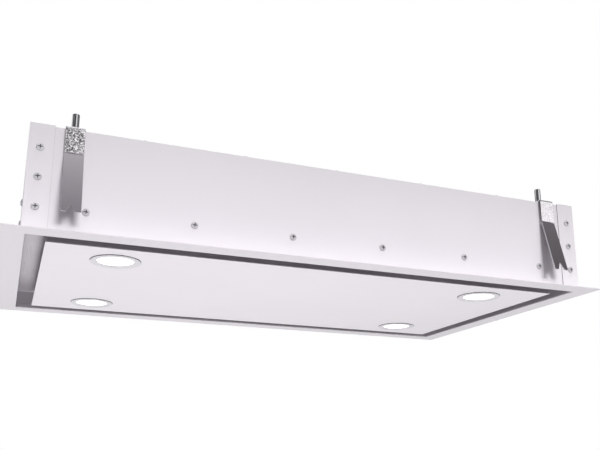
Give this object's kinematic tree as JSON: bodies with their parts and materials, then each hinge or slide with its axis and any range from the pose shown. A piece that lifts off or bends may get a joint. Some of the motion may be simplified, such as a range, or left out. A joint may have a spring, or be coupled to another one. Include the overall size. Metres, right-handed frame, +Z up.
{
  "type": "ceiling range hood",
  "caption": "Flush ceiling hood with a perimeter intake slot round a hinged lamp panel, grease filters, radial fan, round duct collar and sprung clips.",
  "frame": {"origin": "centre of the underside of the ceiling flange", "axes": "+X along the hood, +Y from its front wall to its rear wall, +Z up into the ceiling"},
  "size_m": [0.9, 0.5304, 0.205],
  "materials": {
    "white_paint": "satin white powder coat",
    "galvanised": "galvanised sheet with spangle",
    "stainless": "brushed stainless sheet",
    "spring_steel": "smooth grey spring steel",
    "bright_steel": "bright plated steel",
    "zinc_screws": "zinc plated, cross recess",
    "filter_aluminium": "folded aluminium sheet",
    "filter_mesh": "pleated expanded mesh",
    "latch_plastic": "fine grain",
    "lamp_ring": "satin ring with a bright edge",
    "lamp_lens": "opal lens, lit",
    "heat_sink": "anodised fins",
    "magnet": "magnet in a black holder",
    "impeller_plastic": "moulded",
    "rotor_steel": "drawn steel cup",
    "motor_core": "laminated core with varnished winding",
    "rubber": "matt",
    "damper_sheet": "plain sheet",
    "box_plastic": "fine grain",
    "board": "lacquered board with black components",
    "terminal": "smooth",
    "capacitor": "smooth can"
  },
  "bodies": {
    "housing": {"flange_frame": "white_paint", "front_wall": "white_paint", "rear_wall": "white_paint", "left_end_cap": "white_paint", "right_end_cap": "white_paint", "top_plate": "galvanised", "channel_liner": "stainless", "filter_deck": "galvanised", "filter_frame_left": "filter_aluminium", "filter_frame_right": "filter_aluminium", "filter_mesh_left": "filter_mesh", "filter_mesh_right": "filter_mesh", "hinge_brackets": "galvanised", "catch_magnets": "magnet", "clip_front_left": "galvanised", "clip_front_right": "galvanised", "clip_rear_left": "galvanised", "clip_rear_right": "galvanised", "hanger_angles": "galvanised", "hanger_studs": "bright_steel", "hanger_nuts": "bright_steel", "scroll_body": "galvanised", "scroll_cover": "galvanised", "inlet_ring": "stainless", "motor_stator": "motor_core", "motor_bearings": "bright_steel", "fan_bushes": "rubber", "outlet_elbow": "galvanised", "outlet_collar": "galvanised", "damper_pin": "bright_steel", "control_box": "box_plastic", "control_box_lid": "box_plastic", "circuit_board": "board", "terminal_block": "terminal", "motor_capacitor": "capacitor", "cable_gland": "box_plastic", "long_wall_screws": "zinc_screws", "end_wall_screws": "zinc_screws", "top_plate_screws": "zinc_screws"},
    "panel": {"panel_face": "white_paint", "panel_tray": "stainless", "lamp_bezels": "lamp_ring", "lamp_lenses": "lamp_lens", "lamp_housings": "heat_sink", "hinge_ears": "galvanised", "hinge_pins": "bright_steel", "catch_strikes": "galvanised"},
    "fan": {"impeller": "impeller_plastic", "motor_rotor": "rotor_steel", "motor_shaft": "bright_steel"},
    "damper_rear": {"damper_flap_rear": "damper_sheet"},
    "damper_front": {"damper_flap_front": "damper_sheet"},
    "latch_left": {"filter_latch_left": "latch_plastic"},
    "latch_right": {"filter_latch_right": "latch_plastic"},
    "tongue_front_left": {"tongue_front_left": "spring_steel"},
    "tongue_front_right": {"tongue_front_right": "spring_steel"},
    "tongue_rear_left": {"tongue_rear_left": "spring_steel"},
    "tongue_rear_right": {"tongue_rear_right": "spring_steel"}
  },
  "joints": [
    {"name": "panel_hinge", "type": "hinge", "parent": "housing", "child": "panel", "pos_m": [0, 0.19, 0.012], "axis": [1, 0, 0], "range_deg": [0, 85]},
    {"name": "fan_spin", "type": "hinge", "parent": "housing", "child": "fan", "pos_m": [-0.14, -0.02, 0.1], "axis": [0, 0, 1], "continuous": true},
    {"name": "damper_rear_swing", "type": "hinge", "parent": "housing", "child": "damper_rear", "pos_m": [0.075, 0.10071, 0.169], "axis": [1, 0, 0], "range_deg": [0, 75]},
    {"name": "damper_front_swing", "type": "hinge", "parent": "housing", "child": "damper_front", "pos_m": [0.075, 0.10071, 0.169], "axis": [-1, 0, 0], "range_deg": [0, 75]},
    {"name": "latch_left_slide", "type": "slide", "parent": "housing", "child": "latch_left", "axis": [0, 1, 0], "range_m": [0, 0.0045], "stiffness_N_per_m": 300},
    {"name": "latch_right_slide", "type": "slide", "parent": "housing", "child": "latch_right", "axis": [0, 1, 0], "range_m": [0, 0.0045], "stiffness_N_per_m": 300},
    {"name": "tongue_front_left_flex", "type": "hinge", "parent": "housing", "child": "tongue_front_left", "pos_m": [-0.37, -0.24175, 0.1085], "axis": [1, 0, 0], "range_deg": [0, 15], "stiffness_Nm_per_rad": 3},
    {"name": "tongue_front_right_flex", "type": "hinge", "parent": "housing", "child": "tongue_front_right", "pos_m": [0.37, -0.24175, 0.1085], "axis": [1, 0, 0], "range_deg": [0, 15], "stiffness_Nm_per_rad": 3},
    {"name": "tongue_rear_left_flex", "type": "hinge", "parent": "housing", "child": "tongue_rear_left", "pos_m": [-0.37, 0.24175, 0.1085], "axis": [-1, 0, 0], "range_deg": [0, 15], "stiffness_Nm_per_rad": 3},
    {"name": "tongue_rear_right_flex", "type": "hinge", "parent": "housing", "child": "tongue_rear_right", "pos_m": [0.37, 0.24175, 0.1085], "axis": [-1, 0, 0], "range_deg": [0, 15], "stiffness_Nm_per_rad": 3}
  ]
}
